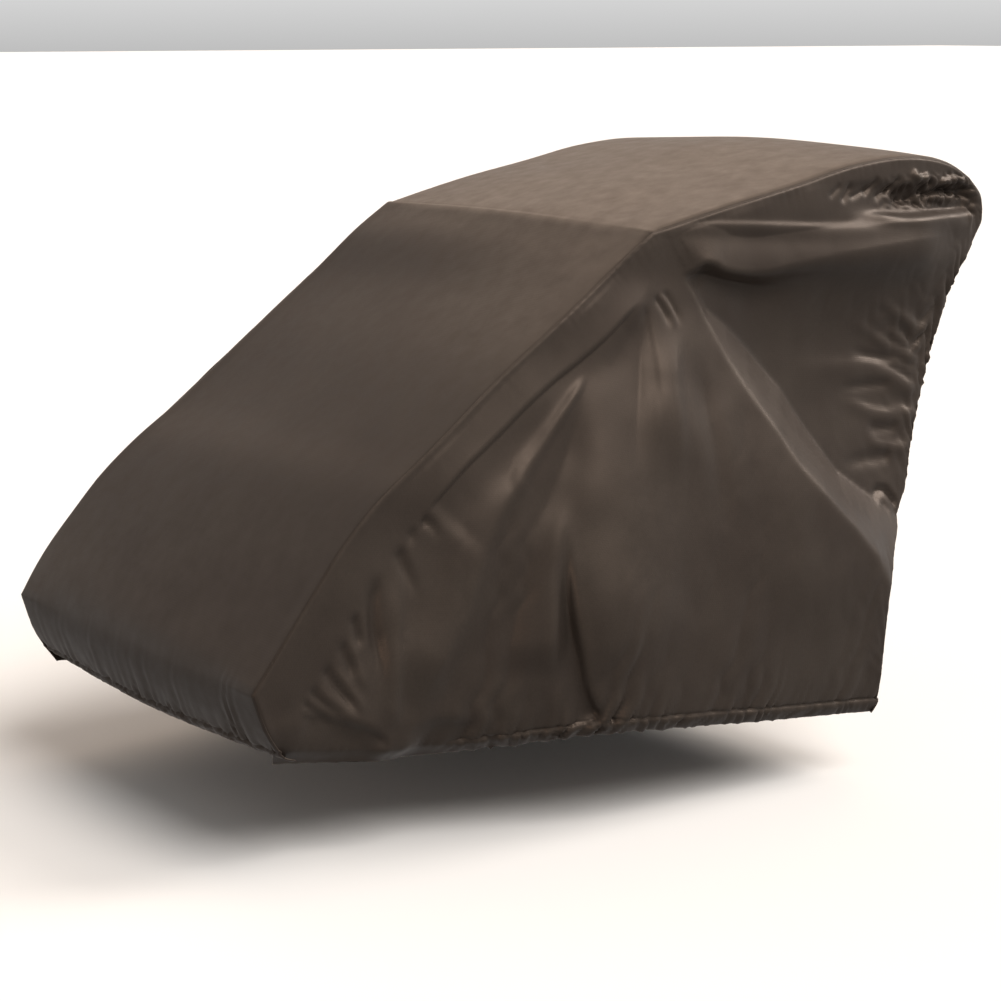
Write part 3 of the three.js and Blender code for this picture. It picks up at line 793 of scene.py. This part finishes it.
def makeSide(plan):
    outward = plan["sign"]
    seed = plan["hem"]["seed"]
    back, up = fillOutline(outward)
    fromBack, alongBack = fromLine(lines["rear"][::4, :2], back, up)
    fromHem, alongHem = fromLine(lines["hem"][::4], back, up)
    seamLine = np.concatenate([lines["front"], lines["roof"][1:], lines["rear"][1:]])[::6, :2]
    fromSeam, alongSeam = fromLine(seamLine, back, up)
    half = wallHalf(back, up) + rearScallops(alongBack)[1] * np.exp(-(fromBack / scallops["fade"]) ** 2)
    uneven = sideCloth["uneven"]
    rise = fromTable(plan["hem"]["uneven"], alongHem) * humps(seed + 500, uneven["wave"], alongHem)
    rise *= np.exp(-(fromHem / uneven["reach"]) ** 2)
    points = np.stack([back, outward * half, up + rise], axis=2)
    normal = gridNormals(points, outward)
    inner = ease((fromSeam - 1) / sideCloth["seamEase"])

    stray = sideCloth["stray"]
    loose = stray["size"] * inner * ease((stray["top"] - up) / stray["fade"])
    backwards, upwards = [loose * clouds(seed + k, stray["wave"], back, up) for k in (200, 201)]
    lift = foldHeight(plan["folds"], back + backwards, up + upwards) * inner * cloth["relief"]
    lift += hemShape(plan["hem"], alongHem, fromHem)
    lift += gatherShape(plan["gather"], alongBack, fromBack) * ease(fromHem / 40)

    spot = plan["crumple"]
    patch = np.exp(-((back - spot["back"]) / spot["long"]) ** 4 - ((up - spot["up"]) / spot["tall"]) ** 4)
    ridges = 1 - 2 * np.abs(clouds(spot["seed"], spot["wave"], back, up * 1.5))
    lift += spot["height"] * ridges * patch * ease(fromSeam / 8)

    lift += inner * sum(size * clouds(seed + k, wave, back, up) for k, wave, size in sideCloth["sway"])
    lift += sideCloth["pucker"] * seamPuckers(seed + 400, alongSeam, fromSeam)
    lift -= pastBends(cloth["seamTurn"], alongSeam) * ease(1 - fromSeam / sideCloth["turnFade"])

    points = points + normal * lift[:, :, None]
    piece, normal = makeSheet(plan["name"], points, outward)
    top = hemSteps.index(casing["height"])
    return piece, makeStitches(plan["stitches"], [(points[top], normal[top])])


# The centre strip

centreStrip = {
    "name": "centre_panel",
    "stitches": "seam_stitches",
    "flat": (2.34, 0.90),   # m
    "area": 1.70,
    "rows": {"skirt": 19, "slope": 62, "roof": 58, "rear": 158},
    "columns": 130,
    "half": 320,            # its usual half width
    "stitchEdge": 6.2,      # from the seam to its stitches, one of the fine steps
    "bendSoft": [(1, 150, 34), (1, 300, 12)],   # how far the bends are rounded, at the skirt and beyond
    "softWithin": 130,      # the seams keep sharp bends, and this far in they are rounded
    "roofRise": [(2, -30, 0.2), (2, 30, 1.9), (3, -40, 1.9), (3, 40, 1.6)],     # above its seams
    "seamEase": 26,
    "turnFade": 3,
    "pucker": 0.5,
    "skirtFade": 26,        # how far past the skirt its puckers reach
    "backFade": 320,        # the back hem's fade out over this, from 128 mm up
    "sway": [               # broad hills of the roof, slope and back, each from its own bend on
        {"bend": 2, "fade": 40, "seed": 271, "wave": 260, "stretch": 1, "size": 0.8},
        {"bend": 1, "fade": 60, "seed": 273, "wave": 340, "stretch": 0.6, "size": 0.7},
        {"bend": 3, "fade": 120, "seed": 275, "wave": 240, "stretch": 0.45, "size": 4.5},
    ],
    "frontHem": {"seed": 211, "wave": 15, "puff": 3.2, "groove": 1.8, "slant": 0.1,
                 "pull": [(-340, 0.8), (0, 1.1), (340, 0.8)], "under": [(-340, 6), (0, 0), (340, 6)],
                 "tuck": [(0, 9)], "show": [(0, 1)],
                 "puckers": [(25, 28, 6), (12, 14, 2.4)]},
    "rearHem": {"seed": 231, "wave": 16, "puff": 3.4, "groove": 2, "slant": 0.1,
                "pull": [(-430, 0.6), (-200, 1.2), (0, 1.4), (200, 1.2), (430, 0.6)],
                "tuck": [(0, 6)], "show": [(0, 1)], "under": [(0, 3)],
                "puckers": [(18, 22, 2.6), (34, 60, 3), (62, 130, 3)]},
    "gather": {"seed": 251, "middle": 300, "spread": 160, "floor": 0.25, "lean": 0.25,
               "ruffles": [(15, 12, 5.5), (28, 40, 4.8), (50, 95, 3.6)]},
}


def centreLine():   # the strip's profile, front hem to back hem
    fine = {"skirt": (hemSteps, [0]), "slope": ([0], edgeSteps),
            "roof": (edgeSteps, [0]), "rear": ([0], hemSteps)}
    parts = []
    for name in stretches:
        inner = np.linspace(0, 1, centreStrip["rows"][name] + 1)
        parts.append(atDistances(lines[name], spacing(lineSize[name], *fine[name], inner)))
    return np.concatenate([parts[0][:1]] + [part[1:] for part in parts])


def soften(values, reach, width):   # the same profile with its bends rounded
    weights = np.exp(-((reach[:, None] - reach[None, :]) / width) ** 2) * np.gradient(reach)[None, :]
    return (weights @ values) / weights.sum(axis=1, keepdims=True)


def makeCentre():
    plan = centreStrip
    line = centreLine()
    reach = lengths(line[:, :2])
    slopeStart = lineSize["skirt"]
    rearStart = reach[-1] - lineSize["rear"]
    bends = [0, slopeStart, slopeStart + lineSize["slope"], rearStart, math.inf]
    half = wallHalf(line[:, 0], line[:, 1])
    rounded = soften(line[:, :2], reach, pastBends(plan["bendSoft"], reach)[:, None])
    ends = ease(np.minimum(reach, reach[-1] - reach) / 40)[:, None]
    rounded = line[:, :2] + (rounded - line[:, :2]) * ends

    inner = np.linspace(0, 1, plan["columns"] + 1)
    columns = spacing(2.0 * plan["half"], seamSteps, seamSteps, inner) / plan["half"] - 1
    across = columns * half[:, None]
    fromSeam = half[:, None] - np.abs(across)
    soft = ease(fromSeam / plan["softWithin"])[:, :, None]
    profile = line[:, None, :2] * (1 - soft) + rounded[:, None, :] * soft
    drop = np.clip(reach - rearStart, 0, None)
    out, wide = [part[:, None] * ease(drop / 60)[:, None] for part in rearScallops(drop)]
    edge = np.exp(-(fromSeam / scallops["fade"]) ** 2)
    sag = slopeSag((reach - slopeStart) / lineSize["slope"])[:, None] * ease(columns * 0.5 + 0.5)
    bulge = line[:, 2:] * (1 - columns ** 2) + out * edge + sag
    back, up = np.moveaxis(profile + leftOf(rounded)[:, None] * bulge[:, :, None], 2, 0)
    points = np.stack([back, across + np.sign(across) * wide * edge, up], axis=2)
    normal = gridNormals(points, 1)

    across = points[:, :, 1]
    along = np.repeat(reach[:, None], len(columns), axis=1)
    toEnd = reach[-1] - along
    inner = ease((fromSeam - 1) / plan["seamEase"])
    lift = hemShape(plan["frontHem"], across, along) * ease(1 + (slopeStart - along) / plan["skirtFade"])
    lift += hemShape(plan["rearHem"], across, toEnd) * ease(1.4 - toEnd / plan["backFade"])
    gathers = gatherShape(plan["gather"], along - rearStart, fromSeam)
    lift += gathers * ease((along - rearStart - 20) / 60) * ease(toEnd / 40)
    for row in plan["sway"]:
        start, end = bends[row["bend"]:row["bend"] + 2]
        within = ease((along - start) / row["fade"]) * ease((end - along) / row["fade"])
        hills = clouds(row["seed"], row["wave"], along * row["stretch"], across)
        lift += within * inner * row["size"] * hills
    lift += plan["pucker"] * seamPuckers(291, along, fromSeam)
    lift += pastBends(plan["roofRise"], reach)[:, None] * ease(fromSeam / 10)
    lift -= pastBends(cloth["seamTurn"], along) * ease(1 - fromSeam / plan["turnFade"])
    points = points + normal * lift[:, :, None]
    piece, normal = makeSheet(plan["name"], points, 1)

    top = hemSteps.index(casing["height"])
    edge = seamSteps.index(plan["stitchEdge"])
    rows = [(points[k], normal[k]) for k in (top, -1 - top)]
    rows += [(points[8:-8, k], normal[8:-8, k]) for k in (edge, -1 - edge)]     # free of the hems
    return piece, makeStitches(plan["stitches"], rows)


# Coated polyester cloth: a plain weave with a satin face that catches light along every fold

coating = {
    "shade": "#302a26",     # the two browns of its faint broad patches
    "bright": "#38322d",
    "patchRange": (0.35, 0.68),
    "worn": "#5a4f44",      # on crests that are rubbed
    "tint": "#ffe4cf",
    "noise": (0.3, 0.7),    # the part of a noise that speck and roughness follow
    "speck": (0.94, 1.06),
    "roughness": (0.37, 0.49),
    "sheen": 0.12,
    "sheenRoughness": 0.35,
    "threadPitch": 0.0016,  # m; real threads lie 0.5 mm apart, too fine to show
    "wavePeriod": 0.314,    # m, of a wave texture at scale 1, which holds two threads
    "threadDepth": 0.0004,
    "rumpleDepth": 0.002,
    "patches": {"Scale": 5.5, "Detail": 3.0, "Roughness": 0.55},    # some 180 mm across
    "grain": {"Scale": 260.0, "Detail": 2.0},                       # 4 mm
    "rumple": {"Scale": 34.0, "Detail": 4.0, "Roughness": 0.6},     # 30 mm
}


def clothMaterial():
    material, tree = newMaterial("coated_woven_polyester")   # satin, nearly smooth, faint weave close up
    uv = addNode(tree, "ShaderNodeUVMap", {"uv_map": "cloth"})
    spot = addNode(tree, "ShaderNodeTexCoord")
    bands = coating["wavePeriod"] / coating["threadPitch"] / 2
    warp, weft = [addNode(tree, "ShaderNodeTexWave", {"bands_direction": way, "Scale": bands},
                          {"Vector": uv.outputs[0]}) for way in "XY"]
    weave = addNode(tree, "ShaderNodeMath", {"operation": "MULTIPLY"},
                    {0: warp.outputs["Fac"], 1: weft.outputs["Fac"]})
    patches, grain, rumple = [
        addNode(tree, "ShaderNodeTexNoise", coating[name], {"Vector": spot.outputs["Object"]}).outputs["Fac"]
        for name in ("patches", "grain", "rumple")]
    tone = addNode(tree, "ShaderNodeValToRGB", links={"Fac": patches})
    for stop, position, shade in zip(tone.color_ramp.elements, coating["patchRange"], ("shade", "bright")):
        stop.position = position
        stop.color = toLinear(coating[shade])
    crest = addNode(tree, "ShaderNodeAttribute", {"attribute_name": "crest"})
    wear = addNode(tree, "ShaderNodeMapRange", {
        "From Min": 0.25, "From Max": 1.6, "To Min": 0.0, "To Max": 0.05}, {"Value": crest.outputs["Fac"]})
    faded = addNode(tree, "ShaderNodeMix", {"data_type": "RGBA", "B": toLinear(coating["worn"])},
                    {"Factor": wear.outputs["Result"], "A": tone.outputs["Color"]})
    speck, rough = [
        addNode(tree, "ShaderNodeMapRange", {
            "From Min": coating["noise"][0], "From Max": coating["noise"][1],
            "To Min": coating[name][0], "To Max": coating[name][1]}, {"Value": noise})
        for name, noise in (("speck", grain), ("roughness", rumple))]
    colour = addNode(tree, "ShaderNodeVectorMath", {"operation": "SCALE"},
                     {"Vector": faded.outputs["Result"], "Scale": speck.outputs["Result"]})
    threads = addNode(tree, "ShaderNodeBump", {"Strength": 0.12, "Distance": coating["threadDepth"]},
                      {"Height": weave.outputs[0]})
    creases = addNode(tree, "ShaderNodeBump", {"Strength": 0.02, "Distance": coating["rumpleDepth"]},
                      {"Height": rumple, "Normal": threads.outputs[0]})
    shader = addNode(tree, "ShaderNodeBsdfPrincipled", {
        "Sheen Weight": coating["sheen"], "Sheen Roughness": coating["sheenRoughness"],
        "Sheen Tint": toLinear(coating["tint"]), "Specular Tint": toLinear(coating["tint"]),
        "Specular IOR Level": 0.5, "IOR": 1.46},
        {"Base Color": colour.outputs[0], "Roughness": rough.outputs["Result"],
         "Normal": creases.outputs[0]})
    addNode(tree, "ShaderNodeOutputMaterial", links={"Surface": shader.outputs[0]})
    return material


def threadMaterial():
    material, tree = newMaterial("polyester_thread")   # a shade paler than the cloth, with a silky glint
    spot = addNode(tree, "ShaderNodeTexCoord")
    twist = addNode(tree, "ShaderNodeTexNoise", {"Scale": 900.0, "Detail": 1.0},
                    {"Vector": spot.outputs["Object"]})
    bump = addNode(tree, "ShaderNodeBump", {"Strength": 0.3, "Distance": 0.0002},
                   {"Height": twist.outputs["Fac"]})
    shader = addNode(tree, "ShaderNodeBsdfPrincipled", {
        "Base Color": toLinear(thread["colour"]), "Roughness": thread["roughness"],
        "Sheen Weight": thread["sheen"]}, {"Normal": bump.outputs[0]})
    addNode(tree, "ShaderNodeOutputMaterial", links={"Surface": shader.outputs[0]})
    return material


def finishPiece(made, plan, fabric, yarn):
    piece, stitches = made
    for part, material in ((piece, fabric), (stitches, yarn)):
        part.data.materials.append(material)
        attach(part, "root")
    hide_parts(plan["name"])


fabric = clothMaterial()
yarn = threadMaterial()
for sidePlan in (leftSide, rightSide):
    finishPiece(makeSide(sidePlan), sidePlan, fabric, yarn)
    print(sidePlan["name"], "made")
finishPiece(makeCentre(), centreStrip, fabric, yarn)
print("centre strip made")
